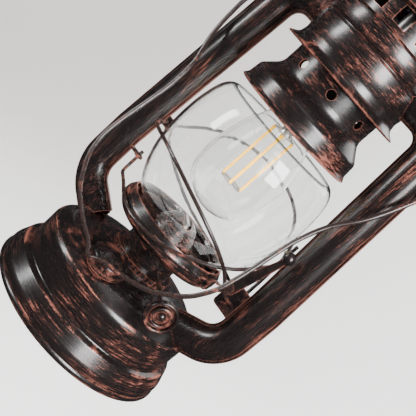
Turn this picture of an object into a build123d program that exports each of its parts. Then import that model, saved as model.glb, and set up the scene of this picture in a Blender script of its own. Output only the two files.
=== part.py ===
from build123d import *
from math import cos, radians, sin, sqrt, tan
import os

# Tubular hurricane lantern converted to an electric bulb. Millimetres, +Z up, the flat of the base
# rim on z = 0 and the lantern axis on Z. The two side tubes stand on +X and -X, the filler cap and
# the hanging bail are on the -Y side, which is the front.

# ---- sheet, wire and clearances --------------------------------------------------------------
SHEET = 0.9                # wall of every pressed sheet part
WIRE_R = 1.2               # guard and carriage wire radius
BAIL_R = 1.5               # bail wire radius
RUN_FIT = 0.05             # radial clearance of a shaft in its bore
FREE_GAP = 0.5             # gap between neighbours that move past each other

# ---- fuel tank -------------------------------------------------------------------------------
RIM_R = 70.0               # outermost radius of the rolled base rim
BEAD_R = 2.6               # radius of the rolled rim bead
BAND_TOP = 20.0            # top of the bulging base band
BAND_R = RIM_R - 4.6              # band radius at its top
WALL_R = RIM_R - 8.6              # tank wall radius
WALL_TOP = 43.5            # where the wall turns into the shoulder
SHOULDER_R = 53.0          # radius where the shoulder turns into the dome
SHOULDER_Z = 51.5
DOME_R = 28.0              # radius where the dome meets the burner seat
TANK_TOP = 57.5            # height of the flat burner seat
FLOOR_Z = 5.4              # underside of the tank floor

# ---- burner ----------------------------------------------------------------------------------
COLLAR_R = 24.0
COLLAR_H = 4.0
BURNER_R = 20.0
BURNER_H = 20.0            # burner drum height above the collar
CONE_R = 17.0
CONE_H = 20.0
WICK_W = 15.0
WICK_T = 2.4
WICK_SHOW = 5.0            # wick standing above its tube
WICK_DEPTH = 34.0          # wick hanging into the tank below the burner seat
SHAFT_R = 1.5
SHAFT_Z = 66.0             # height of the wick winder shaft
SHAFT_AZ = 42.0            # winder direction, degrees to the right of the front
KNOB_R = 10.3
KNOB_REACH = 68.0          # distance of the knob's inner face from the axis
KNOB_T = 5.0
SPROCKET_R = 5.2

# ---- filler ----------------------------------------------------------------------------------
FILLER_R = 45.0            # distance of the filler from the axis
FILLER_AZ = 5.0            # filler direction, degrees to the right of the front
NECK_R = 11.6
NECK_H = 6.5
CAP_R = 14.0
CAP_H = 10.5
GASKET_T = 1.5

# ---- globe carriage --------------------------------------------------------------------------
GALLERY_R = 42.6
GALLERY_Z = 79.0           # underside of the gallery
GALLERY_H = 14.5
GLOBE_FOOT_R = 36.5
GLOBE_R = 53.8
GLOBE_WALL = 1.8
GLOBE_BELLY_Z = 56.0       # height of the widest girth above the globe foot
GLOBE_H = 92.0
GLOBE_MOUTH_R = 44.0

# ---- side tubes ------------------------------------------------------------------------------
TUBE_X_LOW = 78.0          # centre distance from the axis at the globe
TUBE_X_TOP = 69.0          # centre distance from the axis at the ears
TUBE_W = 21.4              # width of the pressed channel, without its seam flanges
TUBE_D = 16.4              # depth over the two ridges
FLANGE_W = 1.8             # seam flange beyond the channel
TUBE_BEND_LOW = 25.0       # centre-line radius of the lower bend
TUBE_BEND_TOP = 20.0       # centre-line radius of the upper bend
TUBE_FOOT_X = 47.0
TUBE_FOOT_Z = 50.5
TUBE_ENTRY_Z = 253.0       # height of the tube centre where it enters the hood

# ---- chimney, hood, crown and top ------------------------------------------------------------
CHIMNEY_RIM_R = 46.0
CHIMNEY_RIM_Z = 190.2
CHIMNEY_BAND_R = 43.6
CHIMNEY_NECK_R = 34.2
VENT_R = 3.1
VENT_COUNT = 8
HOOD_RIM_R = 46.6
HOOD_RIM_Z = 228.2
HOOD_NECK_R = 40.2         # hood radius just above the flared rim
HOOD_NECK_Z = 236.8
BAND_BULGE = 1.2
BAND1_H = 17.0
BAND2_H = 14.0
CROWN_R = 36.5
CROWN_H = 19.0
WINDOW_COUNT = 12
WINDOW_W = 10.0
WINDOW_H = 11.0
CAP_TOP_R = 42.0
CAP_TOP_H = 15.0

# ---- electric parts --------------------------------------------------------------------------
NIPPLE_R = 5.0
NIPPLE_BORE = 3.6
HOLDER_R = 20.0
HOLDER_H = 46.0
HOLDER_WALL = 2.2
BULB_R = 27.5
BULB_TIP_Z = 114.5
BULB_LEN = 110.0
SCREW_R = 13.2
SCREW_H = 25.0
BULB_WALL = 0.8

# ---- bail ------------------------------------------------------------------------------------
EAR_Z = 232.0              # height of the bail pivots
EAR_R = 2.4
BAIL_REACH = 188.5         # distance from the pivots to the tip of the bail
BAIL_HALF = 63.0           # half width of the bail beside the globe
BAIL_TILT = 20.0           # lean of the hanging bail in front of the lantern

# ---- globe lift lever ------------------------------------------------------------------------
LEVER_X = TUBE_X_LOW - 22.5  # lever pivot
LEVER_Z = GALLERY_Z + 20.0
LEVER_LEN = 42.0
LEVER_ARM = 8.0            # short arm that lifts the carriage
LEVER_LEAN = 14.5          # lean of the lever away from the globe at rest
LEVER_BALL_R = 4.3
LEVER_T = 1.6

os.makedirs("parts", exist_ok=True)


def finish(builder, name):
    builder.part.label = name
    export_step(builder.part, f"parts/{name}.step")


def inset_line(points, radii, wall):
    """A bent line moved one wall thickness to the left of its direction, with its bend radii."""
    runs = [(Vector(*end) - Vector(*start)).normalized() for start, end in zip(points, points[1:])]
    lefts = [Vector(-run.Y, run.X) for run in runs]
    moved = [Vector(*points[0]) + lefts[0] * wall]
    moved_radii = []
    for corner in range(1, len(points) - 1):
        before, after = lefts[corner - 1], lefts[corner]
        moved.append(Vector(*points[corner]) + (before + after) * (wall / (1 + before.dot(after))))
        turns_left = runs[corner - 1].cross(runs[corner]).Z > 0
        radius = radii[corner - 1] - wall if turns_left else radii[corner - 1] + wall
        moved_radii.append(max(radius, 0.1))
    moved.append(Vector(*points[-1]) + lefts[-1] * wall)
    return moved, moved_radii


def sheet_section(points, radii, wall=SHEET):
    """Closed face of a bent sheet: the outer line through the points and its inset."""
    inner_points, inner_radii = inset_line(points, radii, wall)
    with BuildLine(mode=Mode.PRIVATE) as outline:
        outer = FilletPolyline(*points, radius=radii)
        inner = FilletPolyline(*inner_points, radius=inner_radii)
        Line(outer @ 0, inner @ 0)
        Line(outer @ 1, inner @ 1)
    return make_face(outline.edges(), mode=Mode.PRIVATE)


def around_front(radius, azimuth, z):
    """Point at a distance from the axis, azimuth in degrees to the right of the front."""
    return (radius * sin(radians(azimuth)), -radius * cos(radians(azimuth)), z)


def dome_height(radius):
    """Height of the tank dome at a distance from the axis."""
    return TANK_TOP - (radius - DOME_R) * (TANK_TOP - SHOULDER_Z) / (SHOULDER_R - DOME_R)


# ==== fuel tank ===============================================================================
band_low_r = RIM_R - 0.8
tank_line = [
    (band_low_r, BEAD_R + 1.4),
    (band_low_r, BAND_TOP * 0.5),
    (BAND_R, BAND_TOP),
    (WALL_R, BAND_TOP + 1.8),
    (WALL_R + 0.4, WALL_TOP),
    (SHOULDER_R, SHOULDER_Z),
    (DOME_R, TANK_TOP),
    (BURNER_R, TANK_TOP),
]
tank_radii = [8, 1.8, 1.5, 7, 12, 5]

filler_point = around_front(FILLER_R, FILLER_AZ, dome_height(FILLER_R))
dome_slope = (TANK_TOP - SHOULDER_Z) / (SHOULDER_R - DOME_R)
filler_normal = Vector(*around_front(dome_slope, FILLER_AZ, 1))
filler_plane = Plane(origin=filler_point, z_dir=filler_normal, x_dir=(1, 0, 0))

with BuildPart() as tank_shell:
    with BuildSketch(Plane.XZ):
        add(sheet_section(tank_line, tank_radii))
        with Locations((RIM_R - BEAD_R, BEAD_R)):
            Circle(BEAD_R)
    revolve(axis=Axis.Z)
    with BuildSketch(filler_plane):
        Circle(NECK_R)
    extrude(amount=8, both=True, mode=Mode.SUBTRACT)
finish(tank_shell, "tank_shell")

# solid outer form of the tank, used to trim what is soldered onto it
with BuildPart() as tank_form:
    with BuildSketch(Plane.XZ):
        with BuildLine():
            tank_outer = FilletPolyline(*tank_line, radius=tank_radii)
            Polyline(tank_outer @ 1, (0, TANK_TOP), (0, BEAD_R), (band_low_r, BEAD_R), tank_outer @ 0)
        make_face()
    revolve(axis=Axis.Z)

floor_line = [(0, FLOOR_Z), (band_low_r - SHEET, FLOOR_Z), (band_low_r - SHEET, FLOOR_Z + 2.2)]
with BuildPart() as tank_floor:
    with BuildSketch(Plane.XZ):
        add(sheet_section(floor_line, [1.0]))
    revolve(axis=Axis.Z)
finish(tank_floor, "tank_floor")

# ==== filler ==================================================================================
with BuildPart() as filler_neck:
    with BuildSketch(filler_plane.offset(-3)):
        Circle(NECK_R)
        Circle(NECK_R - 1.6, mode=Mode.SUBTRACT)
    extrude(amount=NECK_H + 3)
finish(filler_neck, "filler_neck")

with BuildPart() as cap_gasket:
    with BuildSketch(filler_plane.offset(NECK_H)):
        Circle(NECK_R)
        Circle(NECK_R - 3.2, mode=Mode.SUBTRACT)
    extrude(amount=GASKET_T)
finish(cap_gasket, "cap_gasket")

cap_bore_r = NECK_R + RUN_FIT
cap_inside = NECK_H + GASKET_T
with BuildPart() as filler_cap:
    with BuildSketch(Plane(origin=filler_point, x_dir=filler_plane.x_dir, z_dir=-filler_plane.y_dir)):
        with BuildLine():
            Polyline((0, cap_inside), (cap_bore_r, cap_inside), (cap_bore_r, 1.2), (CAP_R, 1.2), (CAP_R, 3.0))
            Polyline((CAP_R, 3.0), (CAP_R - 0.7, 3.5), (CAP_R - 0.9, CAP_H * 0.6))
            cap_crown = Spline(
                (CAP_R - 0.9, CAP_H * 0.6),
                (CAP_R * 0.66, CAP_H * 0.93),
                (0, CAP_H * 1.1),
                tangents=[(0, 1), (-1, 0)],
            )
            Line(cap_crown @ 1, (0, cap_inside))
        make_face()
    revolve(axis=Axis(filler_point, filler_plane.z_dir))
finish(filler_cap, "filler_cap")

# ==== burner ==================================================================================
with BuildPart() as burner_collar:
    with BuildSketch(Plane.XY.offset(TANK_TOP)):
        Circle(COLLAR_R)
        Circle(BURNER_R, mode=Mode.SUBTRACT)
        with PolarLocations(COLLAR_R, 40):
            Circle(0.5, mode=Mode.SUBTRACT)
    extrude(amount=COLLAR_H)
finish(burner_collar, "burner_collar")

drum_low = TANK_TOP - 3
drum_top = TANK_TOP + COLLAR_H + BURNER_H
tube_w = WICK_W + 1.6
tube_t = WICK_T + 1.6
shaft_side = SPROCKET_R + WICK_T / 2 + FREE_GAP
wick_plane = Plane(origin=(0, 0, 0), x_dir=around_front(1, SHAFT_AZ, 0), z_dir=(0, 0, 1))
shaft_dir = wick_plane.x_dir
shaft_start = wick_plane.y_dir * shaft_side + Vector(0, 0, SHAFT_Z)
shaft_plane = Plane(origin=shaft_start, x_dir=(0, 0, 1), z_dir=shaft_dir)

with BuildPart() as burner_drum:
    with BuildSketch(Plane.XZ):
        drum_line = [(0, drum_low), (BURNER_R, drum_low), (BURNER_R, drum_top), (11, drum_top)]
        add(sheet_section(drum_line, [1.2, 2]))
    revolve(axis=Axis.Z)
    with BuildSketch(wick_plane.offset(drum_low)):
        Rectangle(tube_w, tube_t)
    extrude(amount=SHEET, mode=Mode.SUBTRACT)
    with BuildSketch(shaft_plane):
        Circle(SHAFT_R + RUN_FIT)
    extrude(amount=BURNER_R + 4, mode=Mode.SUBTRACT)
    with Locations(Plane.XY.offset(drum_top - 6)):
        with PolarLocations(BURNER_R, 16, start_angle=6):
            Cylinder(1.4, 4, rotation=(0, 90, 0), mode=Mode.SUBTRACT)
finish(burner_drum, "burner_drum")

with BuildPart() as burner_cone:
    with BuildSketch(Plane.XZ):
        cone_line = [
            (CONE_R, drum_top),
            (CONE_R, drum_top + CONE_H * 0.3),
            (CONE_R * 0.62, drum_top + CONE_H * 0.84),
            (CONE_R * 0.3, drum_top + CONE_H),
            (0, drum_top + CONE_H),
        ]
        add(sheet_section(cone_line, [6, 6, 3]))
    revolve(axis=Axis.Z)
    with BuildSketch(wick_plane.offset(drum_top + CONE_H * 0.5)):
        SlotOverall(WICK_W + 6, WICK_T + 5)
    extrude(amount=CONE_H, mode=Mode.SUBTRACT)
    with Locations(Plane.XY.offset(drum_top + CONE_H * 0.22)):
        with PolarLocations(CONE_R, 18):
            Cylinder(0.9, 4, rotation=(0, 90, 0), mode=Mode.SUBTRACT)
finish(burner_cone, "burner_cone")

wick_tube_top = drum_top + CONE_H * 0.72
with BuildPart() as wick_tube:
    with BuildSketch(wick_plane.offset(drum_low - 6)):
        Rectangle(tube_w, tube_t)
        Rectangle(WICK_W + 0.6, WICK_T + 0.6, mode=Mode.SUBTRACT)
    extrude(amount=wick_tube_top - drum_low + 6)
    with Locations(Plane(origin=shaft_start, x_dir=shaft_dir, z_dir=(0, 0, 1))):
        Box(12, 2 * (SPROCKET_R + FREE_GAP), 2 * (SPROCKET_R + FREE_GAP), mode=Mode.SUBTRACT)
finish(wick_tube, "wick_tube")

with BuildPart() as wick:
    with BuildSketch(wick_plane.offset(TANK_TOP - WICK_DEPTH)):
        RectangleRounded(WICK_W, WICK_T, WICK_T * 0.3)
    extrude(amount=wick_tube_top + WICK_SHOW - TANK_TOP + WICK_DEPTH)
finish(wick, "wick")

with BuildPart() as wick_shaft:
    with BuildSketch(shaft_plane.offset(-WICK_W * 0.4)):
        Circle(SHAFT_R)
    extrude(amount=KNOB_REACH + KNOB_T * 0.6 + WICK_W * 0.4)
    for along in (-4, 4):
        with BuildSketch(shaft_plane.offset(along - 0.6)):
            Circle(SPROCKET_R * 0.84)
            with PolarLocations(SPROCKET_R * 0.84, 12):
                Circle(SPROCKET_R * 0.16)
        extrude(amount=1.2)
finish(wick_shaft, "wick_shaft")

with BuildPart() as wick_knob:
    with BuildSketch(Plane(origin=shaft_start, x_dir=(0, 0, 1), z_dir=wick_plane.y_dir)):
        with BuildLine():
            knob_face = Polyline(
                (0, KNOB_REACH),
                (KNOB_R - 0.8, KNOB_REACH),
                (KNOB_R, KNOB_REACH + 0.8),
                (KNOB_R, KNOB_REACH + KNOB_T * 0.7),
            )
            knob_ring = ThreePointArc(
                knob_face @ 1,
                (KNOB_R * 0.91, KNOB_REACH + KNOB_T * 0.88),
                (KNOB_R * 0.82, KNOB_REACH + KNOB_T * 0.7),
            )
            knob_groove = Polyline(
                knob_ring @ 1,
                (KNOB_R * 0.8, KNOB_REACH + KNOB_T * 0.34),
                (KNOB_R * 0.68, KNOB_REACH + KNOB_T * 0.34),
                (KNOB_R * 0.66, KNOB_REACH + KNOB_T * 0.74),
            )
            knob_inner = ThreePointArc(
                knob_groove @ 1,
                (KNOB_R * 0.57, KNOB_REACH + KNOB_T * 0.92),
                (KNOB_R * 0.48, KNOB_REACH + KNOB_T * 0.74),
            )
            knob_dish = Polyline(
                knob_inner @ 1,
                (KNOB_R * 0.44, KNOB_REACH + KNOB_T * 0.5),
                (KNOB_R * 0.32, KNOB_REACH + KNOB_T * 0.5),
            )
            knob_dome = Spline(
                knob_dish @ 1,
                (KNOB_R * 0.2, KNOB_REACH + KNOB_T * 0.86),
                (0, KNOB_REACH + KNOB_T),
                tangents=[(-0.3, 1), (-1, 0)],
            )
            Line(knob_dome @ 1, (0, KNOB_REACH))
        make_face()
    revolve(axis=Axis(shaft_start, shaft_dir))
    with BuildSketch(shaft_plane):
        Circle(SHAFT_R)
    extrude(amount=KNOB_REACH + KNOB_T * 0.6, mode=Mode.SUBTRACT)
finish(wick_knob, "wick_knob")

# ==== globe carriage ==========================================================================
gallery_in_r = BURNER_R + FREE_GAP
gallery_line = [
    (gallery_in_r, GALLERY_Z),
    (GALLERY_R - 4.0, GALLERY_Z),
    (GALLERY_R, GALLERY_Z + GALLERY_H * 0.28),
    (GALLERY_R, GALLERY_Z + GALLERY_H * 0.62),
    (GLOBE_FOOT_R + 2.9, GALLERY_Z + GALLERY_H),
]
with BuildPart() as gallery:
    with BuildSketch(Plane.XZ):
        add(sheet_section(gallery_line, [4, 3, 3]))
    revolve(axis=Axis.Z)
    with Locations(Plane.XY.offset(GALLERY_Z)):
        with PolarLocations((gallery_in_r + GALLERY_R) / 2 - 4, 20):
            Cylinder(1.6, 4, mode=Mode.SUBTRACT)
finish(gallery, "gallery")

foot_z = GALLERY_Z + 11.0
seat_line = [
    (GLOBE_FOOT_R - 1.5, GALLERY_Z + SHEET),
    (GLOBE_FOOT_R - 1.5, foot_z - SHEET),
    (GLOBE_FOOT_R + 0.9, foot_z - SHEET),
]
with BuildPart() as globe_seat:
    with BuildSketch(Plane.XZ):
        add(sheet_section(seat_line, [0.6]))
    revolve(axis=Axis.Z)
finish(globe_seat, "globe_seat")

belly_rise = GLOBE_R - GLOBE_FOOT_R
shoulder_drop = GLOBE_R - GLOBE_MOUTH_R
low_girths = [(0.04, 0.0), (0.09, 0.09), (0.18, 0.31), (0.32, 0.57), (0.57, 0.85), (0.79, 0.965)]
high_girths = [(0.35, 0.05), (0.667, 0.23), (0.853, 0.46), (0.95, 0.72)]
globe_line = [(GLOBE_FOOT_R, foot_z)]
for share, rise in low_girths:
    globe_line.append((GLOBE_FOOT_R + belly_rise * rise, foot_z + GLOBE_BELLY_Z * share))
globe_line.append((GLOBE_R, foot_z + GLOBE_BELLY_Z))
for share, drop in high_girths:
    girth_z = foot_z + GLOBE_BELLY_Z + (GLOBE_H - GLOBE_BELLY_Z) * share
    globe_line.append((GLOBE_R - shoulder_drop * drop, girth_z))
globe_line.append((GLOBE_MOUTH_R, foot_z + GLOBE_H))
globe_inner = [(radius - GLOBE_WALL, height) for radius, height in globe_line]
with BuildPart() as globe:
    with BuildSketch(Plane.XZ):
        with BuildLine():
            Spline(*globe_line)
            Spline(*globe_inner)
            Line(globe_line[0], globe_inner[0])
            Line(globe_line[-1], globe_inner[-1])
        make_face()
    revolve(axis=Axis.Z)
finish(globe, "globe")

# ==== side tubes ==============================================================================
tube_path_points = [
    (HOOD_NECK_R - 5, 0, TUBE_ENTRY_Z),
    (TUBE_X_TOP, 0, TUBE_ENTRY_Z),
    (TUBE_X_LOW, 0, GALLERY_Z + 26),
    (TUBE_X_LOW, 0, TUBE_FOOT_Z + 15.5),
    (TUBE_FOOT_X, 0, TUBE_FOOT_Z),
]
half_w = TUBE_W / 2
half_d = TUBE_D / 2
flange_x = half_w + FLANGE_W
lean_x = (TUBE_X_LOW - TUBE_X_TOP) / (TUBE_ENTRY_Z - GALLERY_Z - 26)


def tube_centre_x(height):
    """Distance of the tube's centre line from the axis beside the globe and above it."""
    return TUBE_X_LOW - max(0, height - GALLERY_Z - 26) * lean_x


# outer form of the hood, used to trim the tubes' upper ends
hood_line = [
    (HOOD_RIM_R, HOOD_RIM_Z),
    (HOOD_NECK_R + 1.0, HOOD_NECK_Z - 5.2),
    (HOOD_NECK_R, HOOD_NECK_Z),
    (HOOD_NECK_R + BAND_BULGE, HOOD_NECK_Z + BAND1_H * 0.48),
    (HOOD_NECK_R, HOOD_NECK_Z + BAND1_H * 0.93),
    (HOOD_NECK_R - 1.6, HOOD_NECK_Z + BAND1_H + 0.5),
    (HOOD_NECK_R, HOOD_NECK_Z + BAND1_H + 2.2),
    (HOOD_NECK_R + BAND_BULGE, HOOD_NECK_Z + BAND1_H + BAND2_H * 0.55),
    (HOOD_NECK_R - 0.2, HOOD_NECK_Z + BAND1_H + BAND2_H * 0.95),
    (HOOD_NECK_R - 2.2, HOOD_NECK_Z + BAND1_H + BAND2_H + 0.8),
    (CROWN_R - 3.0, HOOD_NECK_Z + BAND1_H + BAND2_H + 0.8),
]
hood_radii = [4, 6, 26, 1.2, 0.8, 1.2, 18, 1.6, 1.1]
crown_z = HOOD_NECK_Z + BAND1_H + BAND2_H + 0.8
with BuildPart() as hood_form:
    with BuildSketch(Plane.XZ):
        with BuildLine():
            hood_outer = FilletPolyline(*hood_line, radius=hood_radii)
            Polyline(hood_outer @ 1, (0, crown_z), (0, HOOD_RIM_Z), hood_outer @ 0)
        make_face()
    revolve(axis=Axis.Z)

with BuildLine(mode=Mode.PRIVATE) as tube_path:
    FilletPolyline(*tube_path_points, radius=[TUBE_BEND_TOP, 60, TUBE_BEND_LOW])
tube_plane = Plane(origin=tube_path.line @ 0, x_dir=(0, 0, 1), z_dir=tube_path.line % 0)


def tube_half(side):
    """One pressed half of a side tube; side is -1 for the front half and 1 for the back half."""
    with BuildPart(mode=Mode.PRIVATE) as half:
        with BuildSketch(tube_plane):
            with BuildLine():
                Polyline((-half_w, side * SHEET), (-flange_x, side * SHEET), (-flange_x, 0), (-half_w + SHEET, 0))
                ThreePointArc(
                    (-half_w, side * SHEET), (-half_w * 0.62, side * half_d * 0.76), (0, side * half_d)
                )
                ThreePointArc(
                    (half_w, side * SHEET), (half_w * 0.62, side * half_d * 0.76), (0, side * half_d)
                )
                Polyline((half_w, side * SHEET), (flange_x, side * SHEET), (flange_x, 0), (half_w - SHEET, 0))
                ThreePointArc(
                    (-half_w + SHEET, 0),
                    (-half_w * 0.58, side * (half_d * 0.76 - SHEET)),
                    (0, side * (half_d - SHEET * 1.4)),
                )
                ThreePointArc(
                    (half_w - SHEET, 0),
                    (half_w * 0.58, side * (half_d * 0.76 - SHEET)),
                    (0, side * (half_d - SHEET * 1.4)),
                )
            make_face()
        sweep(path=tube_path.line)
        add(tank_form.part, mode=Mode.SUBTRACT)
        add(hood_form.part, mode=Mode.SUBTRACT)
    return half.part


front_half = tube_half(-1)
back_half = tube_half(1)
for side_name, half_name, half_part in (
    ("right", "front", front_half),
    ("right", "back", back_half),
    ("left", "front", front_half.mirror(Plane.YZ)),
    ("left", "back", back_half.mirror(Plane.YZ)),
):
    with BuildPart() as tube:
        add(half_part)
    finish(tube, f"tube_{side_name}_{half_name}")

# ==== chimney, hood, crown and top cap ========================================================
chimney_line = [
    (CHIMNEY_RIM_R, CHIMNEY_RIM_Z),
    (CHIMNEY_BAND_R + 0.4, CHIMNEY_RIM_Z + 3.2),
    (CHIMNEY_BAND_R - 0.4, CHIMNEY_RIM_Z + 12.0),
    (CHIMNEY_NECK_R, CHIMNEY_RIM_Z + 22.0),
    (CHIMNEY_NECK_R, HOOD_NECK_Z),
    (HOOD_NECK_R - SHEET, HOOD_NECK_Z),
]
with BuildPart() as chimney:
    with BuildSketch(Plane.XZ):
        add(sheet_section(chimney_line, [2.5, 5, 9, 1.5]))
    revolve(axis=Axis.Z)
    with Locations(Plane.XY.offset(CHIMNEY_RIM_Z + 30.3)):
        with PolarLocations(CHIMNEY_NECK_R, VENT_COUNT, start_angle=180 / VENT_COUNT):
            Cylinder(VENT_R, 8, rotation=(0, 90, 0), mode=Mode.SUBTRACT)
finish(chimney, "chimney")

with BuildPart() as hood:
    with BuildSketch(Plane.XZ):
        add(sheet_section(hood_line, hood_radii))
    revolve(axis=Axis.Z)
finish(hood, "hood")

with BuildPart() as crown:
    with BuildSketch(Plane.XZ):
        crown_top = crown_z + CROWN_H
        add(sheet_section([(CROWN_R, crown_z), (CROWN_R, crown_top), (CROWN_R - 3, crown_top)], [1.0]))
    revolve(axis=Axis.Z)
    with Locations(Plane.XY.offset(crown_z + CROWN_H * 0.5)):
        with PolarLocations(CROWN_R, WINDOW_COUNT, start_angle=180 / WINDOW_COUNT):
            Box(8, WINDOW_W, WINDOW_H, mode=Mode.SUBTRACT)
finish(crown, "crown")

brim_z = crown_z + CROWN_H
cap_line = [
    (CAP_TOP_R, brim_z - 2.2),
    (CAP_TOP_R - 1.4, brim_z + SHEET),
    (CROWN_R - 2.0, brim_z + SHEET),
    (CROWN_R * 0.68, brim_z + CAP_TOP_H * 0.62),
    (NIPPLE_R + 7.5, brim_z + CAP_TOP_H),
    (NIPPLE_R, brim_z + CAP_TOP_H),
]
with BuildPart() as top_cap:
    with BuildSketch(Plane.XZ):
        add(sheet_section(cap_line, [1.2, 2, 10, 4]))
    revolve(axis=Axis.Z)
finish(top_cap, "top_cap")

# ==== electric parts ==========================================================================
cap_face_z = brim_z + CAP_TOP_H
bulb_end_z = BULB_TIP_Z + BULB_LEN
holder_low = bulb_end_z - SCREW_H + 2.0
holder_top = holder_low + HOLDER_H
nipple_low = holder_top - 8.0
nipple_top = cap_face_z + 9.0

with BuildPart() as nipple:
    with BuildSketch(Plane.XY.offset(nipple_low)):
        Circle(NIPPLE_R)
        Circle(NIPPLE_BORE, mode=Mode.SUBTRACT)
    extrude(amount=nipple_top - nipple_low)
finish(nipple, "nipple")

with BuildPart() as nipple_nuts:
    for nut_z in (cap_face_z, cap_face_z - SHEET - 3.0, holder_top):
        with BuildSketch(Plane.XY.offset(nut_z)):
            RegularPolygon(7.0, 6, major_radius=False)
            Circle(NIPPLE_R, mode=Mode.SUBTRACT)
        extrude(amount=3.0)
finish(nipple_nuts, "nipple_nuts")

with BuildPart() as cord_bushing:
    with BuildSketch(Plane.XZ):
        Polygon(
            (NIPPLE_BORE - 0.8, nipple_top - 5),
            (NIPPLE_BORE, nipple_top - 5),
            (NIPPLE_BORE, nipple_top),
            (NIPPLE_R, nipple_top),
            (NIPPLE_R - 0.4, nipple_top + 1.6),
            (NIPPLE_BORE - 0.8, nipple_top + 1.6),
            align=None,
        )
    revolve(axis=Axis.Z)
finish(cord_bushing, "cord_bushing")

holder_in_r = SCREW_R + 2.2
with BuildPart() as holder_shell:
    with BuildSketch(Plane.XZ):
        Polygon(
            (holder_in_r, holder_low),
            (HOLDER_R - 1.0, holder_low),
            (HOLDER_R, holder_low + 1.2),
            (HOLDER_R, holder_low + HOLDER_H * 0.66),
            (HOLDER_R * 0.62, holder_top),
            (NIPPLE_R, holder_top),
            (NIPPLE_R, holder_top - 8),
            (HOLDER_R * 0.4, holder_top - 8),
            (holder_in_r, holder_low + SCREW_H + 6),
            align=None,
        )
    revolve(axis=Axis.Z)
finish(holder_shell, "holder_shell")

with BuildPart() as holder_screw:
    with BuildSketch(Plane.XY.offset(holder_low + 1.5)):
        Circle(holder_in_r)
        Circle(holder_in_r - 0.6, mode=Mode.SUBTRACT)
    extrude(amount=SCREW_H - 4)
finish(holder_screw, "holder_screw")

with BuildPart() as holder_insulator:
    with BuildSketch(Plane.XY.offset(bulb_end_z + 3.0)):
        Circle(holder_in_r)
    extrude(amount=3.0)
finish(holder_insulator, "holder_insulator")

with BuildPart() as holder_contact:
    with BuildSketch(Plane.XY.offset(bulb_end_z)):
        Rectangle(12, 4)
    extrude(amount=0.6)
    with BuildSketch(Plane.XY.offset(bulb_end_z)):
        with Locations((5.7, 0)):
            Rectangle(0.6, 4)
    extrude(amount=3.0)
finish(holder_contact, "holder_contact")

screw_low = bulb_end_z - SCREW_H
with BuildPart() as bulb_screw:
    with BuildSketch(Plane.XZ):
        with BuildLine():
            Polyline((0, bulb_end_z - 4.5), (0, screw_low), (SCREW_R, screw_low), (SCREW_R, screw_low + 4))
            thread_points = [(SCREW_R, screw_low + 4)]
            for turn in range(5):
                thread_points.append((SCREW_R - 0.9, screw_low + 5.6 + 3.0 * turn))
                thread_points.append((SCREW_R, screw_low + 7.0 + 3.0 * turn))
            Polyline(*thread_points)
            Polyline(thread_points[-1], (SCREW_R - 1.6, bulb_end_z - 4.5), (0, bulb_end_z - 4.5))
        make_face()
    revolve(axis=Axis.Z)
finish(bulb_screw, "bulb_screw")

with BuildPart() as bulb_contact:
    with BuildSketch(Plane.XZ):
        Polygon(
            (0, bulb_end_z - 4.5),
            (9.0, bulb_end_z - 4.5),
            (5.0, bulb_end_z - 1.0),
            (4.4, bulb_end_z),
            (0, bulb_end_z),
            align=None,
        )
    revolve(axis=Axis.Z)
finish(bulb_contact, "bulb_contact")

neck_r = SCREW_R
bulb_rise = BULB_LEN - SCREW_H
bulb_girths = [
    *((0.045, 0.54), (0.11, 0.81), (0.2, 0.955), (0.32, 1.0), (0.45, 0.99)),
    *((0.57, 0.94), (0.7, 0.83), (0.82, 0.68), (0.92, 0.54)),
]
bulb_line = [(BULB_R * girth, BULB_TIP_Z + bulb_rise * share) for share, girth in bulb_girths]
bulb_middle = BULB_TIP_Z + bulb_rise * 0.32
with BuildPart() as bulb_glass:
    for shrink, how in ((1, Mode.ADD), (1 - BULB_WALL / BULB_R, Mode.SUBTRACT)):
        with BuildSketch(Plane.XZ):
            with BuildLine():
                side_line = [(0, BULB_TIP_Z), *bulb_line, (neck_r, screw_low)]
                side_line = [(r * shrink, bulb_middle + (z - bulb_middle) * shrink) for r, z in side_line]
                bulb_side = Spline(*side_line, tangents=[(1, 0), (0, 1)])
                Polyline(bulb_side @ 1, (neck_r * shrink, screw_low + 0.01), (0, screw_low + 0.01), bulb_side @ 0)
            make_face()
        revolve(axis=Axis.Z, mode=how)
finish(bulb_glass, "bulb_glass")

strip_len = BULB_LEN * 0.4
strip_low = screw_low - 17.0 - strip_len
strip_ring = 8.0
with BuildPart() as filament_strips:
    with Locations(Plane.XY.offset(strip_low + strip_len / 2)):
        with PolarLocations(strip_ring, 4, start_angle=20):
            Cylinder(0.9, strip_len)
finish(filament_strips, "filament_strips")

with BuildPart() as filament_wires:
    with Locations(Plane.XY.offset(strip_low - 0.4)):
        Cylinder(strip_ring + 0.6, 0.8)
        Cylinder(strip_ring - 0.6, 0.8, mode=Mode.SUBTRACT)
    with Locations(Plane.XY.offset(screw_low - 16.6)):
        Cylinder(strip_ring + 0.6, 0.8)
        Cylinder(strip_ring - 0.6, 0.8, mode=Mode.SUBTRACT)
    with BuildSketch(Plane.XY.offset(screw_low - 16.2)):
        with PolarLocations(strip_ring, 2, start_angle=110):
            Circle(0.4)
    extrude(amount=16.2)
    with Locations(Plane.XY.offset(strip_low - 0.4)):
        Box(2 * strip_ring, 0.8, 0.8)
        Cylinder(0.4, strip_len * 0.54, align=(Align.CENTER, Align.CENTER, Align.MIN))
finish(filament_wires, "filament_wires")

with BuildPart() as bulb_stem:
    with BuildSketch(Plane.XZ):
        Polygon(
            (0, screw_low),
            (9.0, screw_low),
            (4.5, screw_low - 12),
            (3.0, screw_low - 21),
            (0, screw_low - 21),
            align=None,
        )
    revolve(axis=Axis.Z)
    with BuildSketch(Plane.XY.offset(screw_low - 21)):
        Circle(1.4)
    extrude(amount=-(strip_len * 0.42))
    add(filament_wires.part, mode=Mode.SUBTRACT)
finish(bulb_stem, "bulb_stem")

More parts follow.
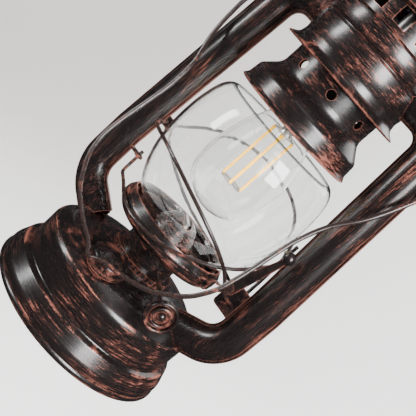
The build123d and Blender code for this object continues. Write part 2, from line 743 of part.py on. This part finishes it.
# ==== wires, guides and the globe lift ========================================================
def bent_wire(points, wire_r, share=0.45):
    """Round wire through the points: straight runs joined by the largest tangent arcs that fit."""
    corners = [Vector(*point) for point in points]
    radii = []
    for before, corner, after in zip(corners, corners[1:], corners[2:]):
        half_turn = radians((corner - before).get_angle(after - corner)) / 2
        radii.append(share * min((corner - before).length, (after - corner).length) / tan(half_turn))
    with BuildPart(mode=Mode.PRIVATE) as wire:
        with BuildLine() as route:
            FilletPolyline(*corners, radius=radii)
        with BuildSketch(Plane(origin=route.line @ 0, z_dir=route.line % 0)):
            Circle(wire_r)
        sweep(path=route.line)
    return wire.part


guard_r = GLOBE_R + 6.1
past_lever_r = LEVER_X + 4.4
inner_edge_x = TUBE_X_LOW - flange_x
guard_high = foot_z + 39.0
guard_low = LEVER_Z - 8.0
tab_reach = 5.0
high_edge_x = tube_centre_x(guard_high + 3.5) - flange_x
plate_low = GALLERY_Z + 3.5
guard_face = SHEET / 2 + WIRE_R

# the guard wires: (degrees round from the front or back, rise above the left tab)
front_stations = [
    *((-62, 0), (-44, 2), (-26, 3), (-8, 1.5), (10, -2)),
    *((28, -7), (45, -13.5), (61, -22), (74, -34)),
]
back_stations = [
    *((-80, 4), (-64, 13), (-48, 21), (-32, 26), (-16, 28.5), (0, 28)),
    *((16, 25.5), (32, 21), (48, 13), (63, 2), (77, -12)),
]
low_stations = [
    *((-83, -9), (-66, -18), (-47, -28), (-28, -36), (-9, -40.5)),
    *((10, -42.5), (30, -43), (50, -43), (68, -42.5)),
]


def guard_wire(stations, side, start_z, end_z):
    """Guard wire from the left tab round the globe to the right plate; side -1 front, 1 back."""
    points = [(-high_edge_x + tab_reach * 0.5, side * guard_face, start_z)]
    radii = [guard_r] * (len(stations) - 1) + [past_lever_r]
    for radius, (azimuth, rise) in zip(radii, stations):
        x, y, z = around_front(radius, azimuth, guard_high + rise)
        points.append((x, -side * y, z))
    points.append((inner_edge_x - 3.5, side * guard_face, end_z))
    return bent_wire(points, WIRE_R)


with BuildPart() as guard_front:
    add(guard_wire(front_stations, -1, guard_high, guard_low))
finish(guard_front, "guard_front")

with BuildPart() as guard_back:
    add(guard_wire(back_stations, 1, guard_high + 2.0, guard_low))
finish(guard_back, "guard_back")

with BuildPart() as guard_back_low:
    add(guard_wire(low_stations, 1, guard_high - 2.0, plate_low + 4.0))
finish(guard_back_low, "guard_back_low")

with BuildPart() as guard_tab:
    with BuildSketch(Plane.XZ.offset(-SHEET / 2)):
        with Locations((-high_edge_x + tab_reach / 2, guard_high)):
            Rectangle(tab_reach, 8)
    extrude(amount=SHEET)
finish(guard_tab, "guard_tab")

# carriage wire: a stem in the left guide, round the front of the gallery, up to the right guide
wire_on_gallery_r = (GALLERY_R + WIRE_R) / cos(radians(11))
gallery_mid = GALLERY_Z + GALLERY_H * 0.45
guide_left_x = -(inner_edge_x - 9.0)
guide_left_z = GALLERY_Z + 20.0
guide_right_z = GALLERY_Z + 57.0
guide_right_edge = tube_centre_x(guide_right_z + 4.0) - flange_x
guide_right_x = guide_right_edge - 4.4
carriage_points = [
    (guide_left_x, -3.0, guide_left_z + 5.0),
    (guide_left_x, -3.0, guide_left_z - 10.0),
    (guide_left_x + 3.5, -9.5, guide_left_z - 12.5),
    around_front(wire_on_gallery_r + 1.5, -58, GALLERY_Z + 8.5),
    around_front(wire_on_gallery_r, -38, gallery_mid + 0.5),
    around_front(wire_on_gallery_r, -18, gallery_mid - 1.0),
    around_front(wire_on_gallery_r, 2, gallery_mid + 0.5),
    around_front(wire_on_gallery_r + 0.6, 22, gallery_mid + 4.0),
    around_front(GLOBE_R - 4.2, 40, GALLERY_Z + 17),
    around_front(GLOBE_R - 0.2, 56, GALLERY_Z + 25),
    around_front(GLOBE_R + 1.8, 71, GALLERY_Z + 33),
    around_front(GLOBE_R + 2.0, 87, GALLERY_Z + 41),
    (guide_right_x, 6.0, guide_right_z - 10),
    (guide_right_x, 6.0, guide_right_z + 9),
]
with BuildPart() as carriage_wire:
    add(bent_wire(carriage_points, WIRE_R))
finish(carriage_wire, "carriage_wire")

for guide_name, guide_x, guide_y, guide_z, edge_x in (
    ("guide_left", guide_left_x, -3.0, guide_left_z, -inner_edge_x),
    ("guide_right", guide_right_x, 6.0, guide_right_z, guide_right_edge),
):
    with BuildPart() as guide:
        with BuildSketch(Plane.XY.offset(guide_z)):
            with Locations((guide_x, guide_y)):
                Circle(WIRE_R + 2.0)
            with Locations(((guide_x + edge_x) / 2, guide_y / 2)):
                Rectangle(abs(edge_x - guide_x), abs(guide_y) + 2)
            with Locations((guide_x, guide_y)):
                Circle(WIRE_R + FREE_GAP, mode=Mode.SUBTRACT)
        extrude(amount=1.6)
    finish(guide, guide_name)

lug_y = -(half_d + 0.7 + LEVER_T / 2)
lug_in_x = sqrt(GALLERY_R**2 - (lug_y + 2.5) ** 2)
lug_x = LEVER_X - LEVER_ARM - 1.3 - 0.3
arm_drop = LEVER_ARM * cos(radians(30))
with BuildPart() as lift_lug:
    with BuildSketch(Plane.XZ.offset(-lug_y - 2.5)):
        with BuildLine():
            lug_line = [
                (LEVER_X - 6.3, LEVER_Z - arm_drop + 1.3 + FREE_GAP + SHEET),
                (lug_x - SHEET, LEVER_Z - arm_drop + 1.3 + FREE_GAP + SHEET),
                (lug_x - SHEET, gallery_mid),
                (lug_in_x, gallery_mid),
            ]
            lug_inner, lug_radii = inset_line(lug_line, [1.5, 0.6], SHEET)
            lug_a = FilletPolyline(*lug_line, radius=[1.5, 0.6])
            lug_b = FilletPolyline(*lug_inner, radius=lug_radii)
            Line(lug_a @ 0, lug_b @ 0)
            Line(lug_a @ 1, lug_b @ 1)
        make_face()
    extrude(amount=5.0)
finish(lift_lug, "lift_lug")

with BuildPart() as lever_plate:
    with BuildSketch(Plane.XZ.offset(-SHEET / 2)):
        with BuildLine():
            plate_edge = FilletPolyline(
                (inner_edge_x, plate_low),
                (LEVER_X - 4.5, plate_low),
                (LEVER_X - 4.5, LEVER_Z + 4.5),
                (inner_edge_x, LEVER_Z + 4.5),
                radius=[2.5, 2.5],
            )
            Line(plate_edge @ 1, plate_edge @ 0)
        make_face()
    extrude(amount=SHEET)
finish(lever_plate, "lever_plate")

leaf_back = -(half_d + 0.7)
leaf_front = leaf_back - LEVER_T
with BuildPart() as lever_rivet:
    for rivet_r, near, far in (
        (3.0, -SHEET / 2, leaf_back + 0.1),
        (2.0, leaf_back + 0.1, leaf_front - 0.3),
        (3.2, leaf_front - 0.3, leaf_front - 1.6),
    ):
        with BuildSketch(Plane.XZ.offset(-near)):
            with Locations((LEVER_X, LEVER_Z)):
                Circle(rivet_r)
        extrude(amount=near - far)
finish(lever_rivet, "lever_rivet")

ball_x = LEVER_X + LEVER_LEN * sin(radians(LEVER_LEAN))
ball_z = LEVER_Z + LEVER_LEN * cos(radians(LEVER_LEAN))
with BuildPart() as lift_lever:
    with BuildSketch(Plane.XZ.offset(-leaf_back)):
        with Locations((LEVER_X, LEVER_Z)):
            Circle(4.2)
        with Locations((ball_x, ball_z)):
            Circle(1.7)
        make_hull()
        with BuildSketch(mode=Mode.PRIVATE) as arm_outline:
            with Locations((LEVER_X, LEVER_Z)):
                Circle(2.0)
            with Locations((LEVER_X - LEVER_ARM * 0.5, LEVER_Z - arm_drop)):
                Circle(1.3)
            make_hull()
        add(arm_outline.sketch)
        with Locations((LEVER_X, LEVER_Z)):
            Circle(2.0 + RUN_FIT, mode=Mode.SUBTRACT)
    extrude(amount=LEVER_T)
    with Locations((ball_x, leaf_back - LEVER_BALL_R, ball_z)):
        Sphere(LEVER_BALL_R)
finish(lift_lever, "lift_lever")

# ==== bail ====================================================================================
ear_face_x = tube_centre_x(EAR_Z - 3.8) + flange_x
ear_plate = 1.2
bail_eye_x = ear_face_x + ear_plate + FREE_GAP + BAIL_R
eye_r = EAR_R + RUN_FIT + BAIL_R
with BuildPart() as bail_ears:
    for side_plane in (Plane.YZ, Plane(origin=(0, 0, 0), x_dir=(0, -1, 0), z_dir=(-1, 0, 0))):
        for ear_form, near, far in (
            (7.6, ear_face_x, ear_face_x + ear_plate),
            (2 * EAR_R, ear_face_x, bail_eye_x + BAIL_R + FREE_GAP),
            (8.0, bail_eye_x + BAIL_R + FREE_GAP, bail_eye_x + BAIL_R + FREE_GAP + 1.2),
        ):
            with BuildSketch(side_plane.offset(near)):
                with Locations((0, EAR_Z)):
                    Circle(ear_form / 2)
            extrude(amount=far - near)
finish(bail_ears, "bail_ears")

bail_half = [
    (bail_eye_x, eye_r),
    (bail_eye_x, 15),
    (bail_eye_x - 4.5, 34),
    (BAIL_HALF + 14.5, 47),
    (BAIL_HALF + 5.0, 66),
    (BAIL_HALF + 1.0, 86),
    (BAIL_HALF, BAIL_REACH - 66),
    (BAIL_HALF - 1.5, BAIL_REACH - 50),
    (BAIL_HALF - 7.5, BAIL_REACH - 35),
    (BAIL_HALF - 23.0, BAIL_REACH - 19),
    (20, BAIL_REACH - 10),
    (6.5, BAIL_REACH - 6.2),
]
bail_line = [(-x, s) for x, s in bail_half] + [(0, BAIL_REACH)] + list(reversed(bail_half))
lean_y = sin(radians(BAIL_TILT))
lean_z = cos(radians(BAIL_TILT))
bail_points = [(x, -s * lean_y, EAR_Z - s * lean_z) for x, s in bail_line]
with BuildPart() as bail:
    add(bent_wire(bail_points, BAIL_R, share=0.4))
    for eye_x in (-bail_eye_x, bail_eye_x):
        with Locations(Location((eye_x, 0, EAR_Z), (0, 90, 0))):
            Torus(eye_r, BAIL_R)
finish(bail, "bail")
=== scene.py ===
from math import cos, pi, radians, sin

import bmesh
import bpy
from mathutils import Matrix, Vector


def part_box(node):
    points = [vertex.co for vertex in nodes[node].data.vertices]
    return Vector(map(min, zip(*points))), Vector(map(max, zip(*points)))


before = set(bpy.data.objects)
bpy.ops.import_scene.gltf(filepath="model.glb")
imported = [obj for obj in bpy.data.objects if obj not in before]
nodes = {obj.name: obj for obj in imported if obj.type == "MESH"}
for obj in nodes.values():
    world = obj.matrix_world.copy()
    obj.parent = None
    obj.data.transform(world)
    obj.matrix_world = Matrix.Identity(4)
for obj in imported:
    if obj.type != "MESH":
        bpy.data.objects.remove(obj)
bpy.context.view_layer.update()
MM = 0.001

# ---- materials ------------------------------------------------------------------------------


class Tree:
    """Short calls for building a material's nodes."""

    def __init__(self, name):
        self.material = bpy.data.materials.new(name)
        self.material.use_nodes = True
        self.nodes = self.material.node_tree.nodes
        self.links = self.material.node_tree.links
        self.nodes.clear()
        self.out = self.nodes.new("ShaderNodeOutputMaterial")

    def add(self, kind, **settings):
        node = self.nodes.new("ShaderNode" + kind)
        for key, value in settings.items():
            setattr(node, key, value)
        return node

    def put(self, socket, value):
        if isinstance(value, bpy.types.NodeSocket):
            self.links.new(value, socket)
        else:
            socket.default_value = value

    def math(self, operation, a, b=0.0, c=0.0, clamp=False):
        node = self.add("Math", operation=operation, use_clamp=clamp)
        for socket, value in zip(node.inputs, (a, b, c)):
            self.put(socket, value)
        return node.outputs[0]

    def step(self, value, low, high):
        """0 below low, 1 above high, smooth between them."""
        node = self.add("MapRange", interpolation_type="SMOOTHSTEP")
        self.put(node.inputs["Value"], value)
        node.inputs["From Min"].default_value = low
        node.inputs["From Max"].default_value = high
        return node.outputs["Result"]

    def mix(self, factor, a, b):
        node = self.add("Mix", data_type="RGBA")
        self.put(node.inputs["Factor"], factor)
        self.put(node.inputs[6], a if isinstance(a, bpy.types.NodeSocket) else (*a, 1))
        self.put(node.inputs[7], b if isinstance(b, bpy.types.NodeSocket) else (*b, 1))
        return node.outputs[2]

    def vector(self, x, y, z):
        node = self.add("CombineXYZ")
        for socket, value in zip(node.inputs, (x, y, z)):
            self.put(socket, value)
        return node.outputs[0]

    def times(self, a, b):
        return self.math("MULTIPLY", a, b)

    def scaled(self, parts, factors):
        return self.vector(*(self.times(part, factor) for part, factor in zip(parts, factors)))

    def total(self, *terms, start=0.0):
        """The sum of value times weight over the terms."""
        made = start
        for value, weight in terms:
            made = self.math("MULTIPLY_ADD", value, weight, made)
        return made

    def noise(self, vector, scale, detail=4.0, roughness=0.55, distortion=0.0):
        node = self.add("TexNoise")
        self.put(node.inputs["Vector"], vector)
        node.inputs["Scale"].default_value = scale
        node.inputs["Detail"].default_value = detail
        node.inputs["Roughness"].default_value = roughness
        node.inputs["Distortion"].default_value = distortion
        return node.outputs["Fac"]

    def place(self):
        coordinates = self.add("TexCoord")
        split = self.add("SeparateXYZ")
        self.links.new(coordinates.outputs["Object"], split.inputs[0])
        return coordinates.outputs["Object"], *split.outputs

    def principled(self, **values):
        shader = self.add("BsdfPrincipled")
        for key, value in values.items():
            self.put(shader.inputs[key.replace("_", " ")], value)
        self.links.new(shader.outputs[0], self.out.inputs["Surface"])
        return shader

    def bump(self, height, strength, distance):
        node = self.add("Bump")
        node.inputs["Strength"].default_value = strength
        node.inputs["Distance"].default_value = distance
        self.links.new(height, node.inputs["Height"])
        return node.outputs[0]


# base colours, linear, and the brushing's scales: cycles per metre along X, Y and Z, except that
# round the axis the first two are per unit of the direction from it
DARK = (0.0055, 0.0038, 0.0036)
BROWN = (0.044, 0.0125, 0.0095)
COPPER = (0.42, 0.150, 0.105)
# painted shade: the grey that clear glass is painted at its rims, for how dark the rims look
PAINTED_LIP_SHADE = (0.16, 0.17, 0.17)
CLEAR = (0.985, 0.992, 0.99)
SHADOW_TINT = (0.96, 0.97, 0.97, 1)
RING_SCALES = (2.4, 2.4, 330.0), (6.5, 6.5, 1500.0)
UP_SCALES = (330.0, 330.0, 18.0), (1500.0, 1500.0, 75.0)
EVEN_SCALES = (70.0, 70.0, 70.0), (210.0, 210.0, 210.0)


def edge_wear(tree, radius):
    """How much the surface bends within the radius: 0 on flats, towards 1 on edges."""
    bevel = tree.add("Bevel", samples=6)
    bevel.inputs["Radius"].default_value = radius
    geometry = tree.add("NewGeometry")
    dot = tree.add("VectorMath", operation="DOT_PRODUCT")
    tree.links.new(bevel.outputs[0], dot.inputs[0])
    tree.links.new(geometry.outputs["Normal"], dot.inputs[1])
    return tree.math("SUBTRACT", 1.0, dot.outputs["Value"])


def aged(name, streak, rings=(), amount=0.5, edge=0.9 * MM, dark=DARK, relief=0.28):
    """Near-black lacquer brushed through to copper. streak is "ring" for brushing round the axis,
    "up" for brushing along Z and "all" for none; rings are (height, half width) of worn ridges in
    mm. More amount wears more of the flats, and edge is how far wear reaches in from an edge."""
    tree = Tree(name)
    point, x, y, z = tree.place()
    line = (x, y, z)
    coarse, fine = UP_SCALES if streak == "up" else EVEN_SCALES
    if streak == "ring":
        square = tree.math("ADD", tree.times(x, x), tree.times(y, y))
        reach = tree.math("MAXIMUM", tree.math("SQRT", square), 0.5 * MM)
        across = tree.math("MULTIPLY_ADD", reach, 0.6, z)
        line = (tree.math("DIVIDE", x, reach), tree.math("DIVIDE", y, reach), across)
        coarse, fine = RING_SCALES
    streaks = tree.noise(tree.scaled(line, coarse), 1.0, 4.0, 0.6)
    lines = tree.noise(tree.scaled(line, fine), 1.0, 3.0, 0.6)
    patches = tree.noise(point, 30.0, 3.0, 0.5, 0.5)
    specks = tree.noise(point, 1300.0, 2.0, 0.6)
    brushed = tree.total((patches, 0.75), (streaks, 0.50), (lines, 0.95), (specks, 0.55))

    # the lacquer gives way where brushed passes these levels, sooner on ridges and edges
    start = 1.64 - 0.20 * amount
    stain = tree.step(brushed, start - 0.10, start + 0.16)
    rub = tree.step(brushed, start - 0.04, start + 0.20)
    at_edge = tree.step(edge_wear(tree, edge), 0.02, 0.18)
    worn = tree.times(at_edge, tree.step(brushed, start - 0.42, start - 0.12))
    for level, half in rings:
        near = tree.math("ABSOLUTE", tree.math("SUBTRACT", z, level * MM))
        ridge = tree.math("SUBTRACT", 1.0, tree.step(near, half * 0.25 * MM, half * MM))
        on_ridge = tree.times(ridge, tree.step(brushed, start - 0.16, start + 0.06))
        worn = tree.math("MAXIMUM", worn, on_ridge)
    bare = tree.math("MAXIMUM", tree.times(rub, 0.42), tree.times(worn, 0.75), clamp=True)
    tree.principled(
        Base_Color=tree.mix(bare, tree.mix(stain, dark, BROWN), COPPER),
        Metallic=tree.times(bare, 0.65),
        Roughness=tree.total((lines, 0.16), (bare, 0.12), (streaks, 0.12), start=0.14),
        Normal=tree.bump(tree.total((lines, 0.5), (specks, 0.5)), relief, 0.10 * MM),
        Specular_IOR_Level=0.40,
        Coat_Weight=0.12,
        Coat_Roughness=0.12,
    )
    return tree.material


def glass(name, tint=CLEAR, lips=()):
    """Clear glass. lips are (height, half width) of its rims, in metres, where the glass is painted
    grey: painted shade for how dark the rims look.
    """
    tree = Tree(name)
    point, _, _, z = tree.place()
    colour = tint
    for level, half in lips:
        near = tree.math("ABSOLUTE", tree.math("SUBTRACT", z, level))
        # painted shade: the glass's colour turns grey near each rim height
        colour = tree.mix(tree.step(near, half * 0.5, half), PAINTED_LIP_SHADE, colour)
    colour = colour if lips else (*tint, 1)
    waves = tree.noise(point, 22.0, 2.0, 0.4)
    shader = tree.principled(
        Base_Color=colour,
        Roughness=0.0,
        IOR=1.47,
        Transmission_Weight=1.0,
        Normal=tree.bump(waves, 0.05, 0.6 * MM),
    )
    clear = tree.add("BsdfTransparent")
    clear.inputs[0].default_value = SHADOW_TINT
    path = tree.add("LightPath")
    mixer = tree.add("MixShader")
    tree.links.new(path.outputs["Is Shadow Ray"], mixer.inputs[0])
    tree.links.new(shader.outputs[0], mixer.inputs[1])
    tree.links.new(clear.outputs[0], mixer.inputs[2])
    tree.links.new(mixer.outputs[0], tree.out.inputs["Surface"])
    return tree.material


def metal(name, colour, stain, roughness):
    """Plain metal, clouded with the darker stain colour."""
    tree = Tree(name)
    point, *_ = tree.place()
    grain = tree.noise(point, 400.0, 5.0, 0.6)
    blotch = tree.noise(point, 60.0, 3.0, 0.5)
    tree.principled(
        Base_Color=tree.mix(tree.step(blotch, 0.35, 0.7), colour, stain),
        Metallic=1.0,
        Roughness=tree.math("MULTIPLY_ADD", grain, 0.2, roughness - 0.1),
        Normal=tree.bump(grain, 0.15, 0.05 * MM),
    )
    return tree.material


def plastic(name, colour, roughness, grain_scale=1500.0, strength=0.15):
    """Moulded plastic or rubber with a fine grain and a little dust."""
    tree = Tree(name)
    point, *_ = tree.place()
    grain = tree.noise(point, grain_scale, 3.0, 0.6)
    dust = tree.noise(point, 90.0, 4.0, 0.6)
    lighter = tuple(min(1.0, c * 1.6 + 0.004) for c in colour)
    tree.principled(
        Base_Color=tree.mix(tree.step(dust, 0.4, 0.8), colour, lighter),
        Roughness=tree.math("MULTIPLY_ADD", dust, 0.15, roughness - 0.07),
        Normal=tree.bump(grain, strength, 0.05 * MM),
    )
    return tree.material


def cotton(name):
    """Woven wick, charred at its upper end."""
    tree = Tree(name)
    point, _, _, z = tree.place()
    warp = tree.add("TexWave", wave_type="BANDS", bands_direction="Z")
    tree.links.new(point, warp.inputs["Vector"])
    warp.inputs["Scale"].default_value = 420.0
    warp.inputs["Distortion"].default_value = 1.5
    wick_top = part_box("wick")[1].z
    char = tree.step(z, wick_top - 4.9 * MM, wick_top - 0.4 * MM)
    fluff = tree.noise(point, 1200.0, 4.0, 0.7)
    cloth = tree.mix(fluff, (0.62, 0.56, 0.44), (0.80, 0.75, 0.64))
    tree.principled(
        Base_Color=tree.mix(char, cloth, (0.05, 0.04, 0.035)),
        Roughness=0.9,
        Sheen_Weight=0.3,
        Normal=tree.bump(warp.outputs["Fac"], 0.5, 0.2 * MM),
    )
    return tree.material


def phosphor(name):
    """The yellow coating of an unlit LED filament, with a faint painted glow from its emission."""
    tree = Tree(name)
    point, *_ = tree.place()
    beads = tree.noise(point, 700.0, 2.0, 0.5)
    colour = tree.mix(beads, (0.88, 0.40, 0.0), (0.95, 0.50, 0.0))
    tree.principled(
        Base_Color=colour,
        Roughness=0.6,
        Specular_IOR_Level=0.1,
        # painted glow: the unlit filament faintly emits its own colour
        Emission_Color=colour,
        Emission_Strength=0.18,
        Normal=tree.bump(beads, 0.3, 0.1 * MM),
    )
    return tree.material


def height(name, share):
    """The height in mm at that share of a node's box."""
    low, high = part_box(name)
    return (low.z + (high.z - low.z) * share) / MM


gallery_ridges = [
    (height("gallery", share), half) for share, half in ((0.28, 1.5), (0.66, 1.6), (1.0, 1.2))
]
globe_low, globe_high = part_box("globe")
globe_rims = [(globe_high.z, 1.6 * MM), (globe_low.z, 1.2 * MM)]
tank_ridges = [(1.2, 1.2), (5.2, 0.8), (20.0, 0.9), (44.0, 1.1)]

finish = {
    "tank": aged("aged_tank", "ring", tank_ridges, 0.50),
    "ring": aged("aged_ring", "ring", gallery_ridges, 0.55),
    "chimney": aged("aged_chimney", "ring", [(height("chimney", 0.015), 1.2)], 0.62),
    "hood": aged("aged_hood", "ring", [(height("hood", 0.02), 1.2)], 0.62),
    "tube": aged("aged_tube", "up", (), 0.50, 1.1 * MM),
    "small": aged("aged_small", "all", (), 0.45, 1.0 * MM, relief=0.12),
    "wire": aged("aged_wire", "all", (), 0.60, 0.4 * MM, (0.014, 0.008, 0.007), 0.06),
    "globe": glass("clear_globe", lips=globe_rims),
    "bulb": glass("clear_bulb", (0.99, 0.993, 0.985)),
    "brass": metal("dull_brass", (0.72, 0.50, 0.22), (0.50, 0.33, 0.14), 0.34),
    "steel": metal("dull_steel", (0.30, 0.29, 0.28), (0.18, 0.175, 0.17), 0.42),
    "lead": metal("nickel_wire", (0.34, 0.32, 0.30), (0.22, 0.20, 0.19), 0.40),
    "bakelite": plastic("black_phenolic", (0.012, 0.011, 0.011), 0.42),
    "rubber": plastic("black_rubber", (0.02, 0.02, 0.02), 0.75, 800.0, 0.3),
    "cotton": cotton("woven_cotton"),
    "phosphor": phosphor("yellow_phosphor_and_painted_glow"),
}

node_finish = {
    "tank": ("tank_shell",),
    "ring": (
        *("tank_floor", "burner_collar", "burner_drum", "burner_cone"),
        *("gallery", "globe_seat", "filler_neck"),
    ),
    "chimney": ("chimney",),
    "hood": ("hood", "crown", "top_cap"),
    "tube": ("tube_left_front", "tube_left_back", "tube_right_front", "tube_right_back"),
    "small": (
        *("filler_cap", "wick_knob", "lever_plate", "lift_lever"),
        *("lift_lug", "guard_tab", "guide_left", "guide_right"),
    ),
    "wire": (
        *("guard_front", "guard_back", "guard_back_low", "carriage_wire"),
        *("bail", "bail_ears", "lever_rivet", "wick_shaft"),
    ),
    "globe": ("globe",),
    "bulb": ("bulb_glass", "bulb_stem"),
    "brass": ("bulb_screw", "holder_screw", "holder_contact", "wick_tube"),
    "steel": ("nipple", "nipple_nuts"),
    "lead": ("filament_wires",),
    "bakelite": ("bulb_contact", "holder_shell", "holder_insulator", "cord_bushing"),
    "rubber": ("cap_gasket",),
    "cotton": ("wick",),
    "phosphor": ("filament_strips",),
}
for key, names in node_finish.items():
    for name in names:
        mesh = nodes[name].data
        mesh.materials.clear()
        mesh.materials.append(finish[key])

# ---- backdrop, lights and camera ----------------------------------------------------------------


def lathe(name, outline, turns, material):
    """A surface of revolution about Z from (radius, height) pairs, in metres."""
    shape = bmesh.new()
    rings = []
    for radius, level in outline:
        around = [2 * pi * k / turns for k in range(turns)]
        rings.append([shape.verts.new((radius * cos(a), radius * sin(a), level)) for a in around])
    for below, above in zip(rings, rings[1:]):
        for k in range(turns):
            shape.faces.new((below[k], below[(k + 1) % turns], above[(k + 1) % turns], above[k]))
    mesh = bpy.data.meshes.new(name)
    shape.to_mesh(mesh)
    shape.free()
    for face in mesh.polygons:
        face.use_smooth = True
    mesh.materials.append(material)
    piece = bpy.data.objects.new(name, mesh)
    bpy.context.scene.collection.objects.link(piece)
    return piece


studio = Tree("studio_paper")
_, side_x, _, _ = studio.place()
# painted shade: the paper goes from pale at +X to mid grey at -X in place of light falling off
# across the backdrop, and its glow follows the same colour
paper_painted_shade = studio.mix(studio.step(side_x, -1.15, 0.25), (0.48, 0.468, 0.448), (0.92, 0.92, 0.92))
studio.principled(
    Base_Color=paper_painted_shade,
    Roughness=0.9,
    Specular_IOR_Level=0.0,
    Emission_Color=paper_painted_shade,
    Emission_Strength=0.55,
)
# a wide bowl under and round the lantern, closed above: a pale surround from every side, with
# painted shade darkening it towards -X
FLOOR_Z = -0.30
FLOOR_R = 1.2
CURVE_R = 1.0
WALL_TOP_Z = 2.2
bowl_line = [(0.001, FLOOR_Z), (FLOOR_R, FLOOR_Z)]
for angle in range(10, 91, 10):
    a = radians(angle)
    bowl_line.append((FLOOR_R + CURVE_R * sin(a), FLOOR_Z + CURVE_R * (1 - cos(a))))
bowl_line += [(FLOOR_R + CURVE_R, WALL_TOP_Z), (1.6, 2.9), (0.001, 3.1)]
backdrop = lathe("backdrop", bowl_line, 96, studio.material)
backdrop.visible_glossy = False

world = bpy.data.worlds.new("studio")
world.use_nodes = True
world.node_tree.nodes["Background"].inputs[0].default_value = (0.06, 0.06, 0.063, 1)
bpy.context.scene.world = world


AIM = Vector((0, 0, 0.15))


def softbox(name, azimuth, elevation, distance, size, power):
    """Rectangular lamp seen from the lantern at that azimuth, right of the front, and elevation."""
    lamp = bpy.data.lights.new(name, "AREA")
    lamp.shape = "RECTANGLE"
    lamp.size, lamp.size_y = size
    lamp.energy = power
    holder = bpy.data.objects.new(name, lamp)
    bpy.context.scene.collection.objects.link(holder)
    a, e = radians(azimuth), radians(elevation)
    away = Vector((sin(a) * cos(e), -cos(a) * cos(e), sin(e)))
    holder.location = AIM + away * distance
    holder.rotation_mode = "QUATERNION"
    holder.rotation_quaternion = away.to_track_quat("Z", "Y")
    holder.visible_camera = False


softbox("key", 56, 22, 1.1, (0.38, 0.62), 36)
softbox("left", -52, 14, 1.2, (0.24, 0.60), 14)
softbox("rear", 170, 35, 1.4, (0.8, 0.8), 7)
softbox("top", 10, 80, 1.3, (0.7, 0.7), 3)

LENS = 68.4
CAMERA_AT = Vector((0.1774, -0.4621, 0.2225))
VIEW_AZIMUTH, PITCH, YAW, ROLL = 21.0, 12.2, 0.33, 48.6


def turned(vector, degrees):
    """A vector turned about Z."""
    return Matrix.Rotation(radians(degrees), 3, "Z") @ vector


pitch, yaw, roll = radians(PITCH), radians(YAW), radians(ROLL)
level = Vector((cos(yaw), -sin(yaw), 0))
along = Vector((sin(yaw) * cos(pitch), cos(yaw) * cos(pitch), -sin(pitch)))
upright = level.cross(along)
right = turned(level * cos(roll) + upright * sin(roll), VIEW_AZIMUTH)
up = turned(upright * cos(roll) - level * sin(roll), VIEW_AZIMUTH)
along = turned(along, VIEW_AZIMUTH)
lens = bpy.data.cameras.new("camera")
lens.lens = LENS
lens.sensor_width = 36.0
lens.clip_start = 0.02
camera = bpy.data.objects.new("camera", lens)
bpy.context.scene.collection.objects.link(camera)
facing = Matrix((right, up, -along)).transposed().to_4x4()
camera.matrix_world = Matrix.Translation(CAMERA_AT) @ facing
bpy.context.scene.camera = camera
